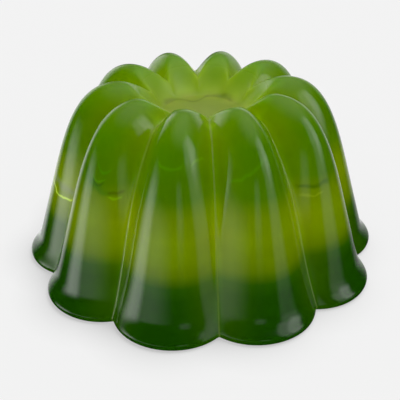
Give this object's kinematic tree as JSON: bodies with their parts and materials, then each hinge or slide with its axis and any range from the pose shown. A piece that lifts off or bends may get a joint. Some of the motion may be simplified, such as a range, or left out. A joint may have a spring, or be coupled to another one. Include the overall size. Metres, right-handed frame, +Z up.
{
  "type": "moulded jelly",
  "caption": "Glossy green moulded jelly: a fluted dome with rounded lobes, a shallow well in the crown, and darker and lighter poured layers.",
  "frame": {"origin": "centre of the flat underside, on the axis of the dome", "axes": "+Z up along the axis of the dome, a groove between two lobes faces -Y, +X to the right seen from there"},
  "size_m": [0.135, 0.1304, 0.0683],
  "materials": {
    "base_jelly": "wet, glossy, dense translucent dark green gelatine",
    "middle_jelly": "wet, glossy, translucent yellow-green gelatine",
    "top_jelly": "wet, glossy, translucent mid green gelatine"
  },
  "bodies": {
    "root": {"base_layer": "base_jelly", "middle_layer": "middle_jelly", "top_layer": "top_jelly"}
  },
  "joints": []
}
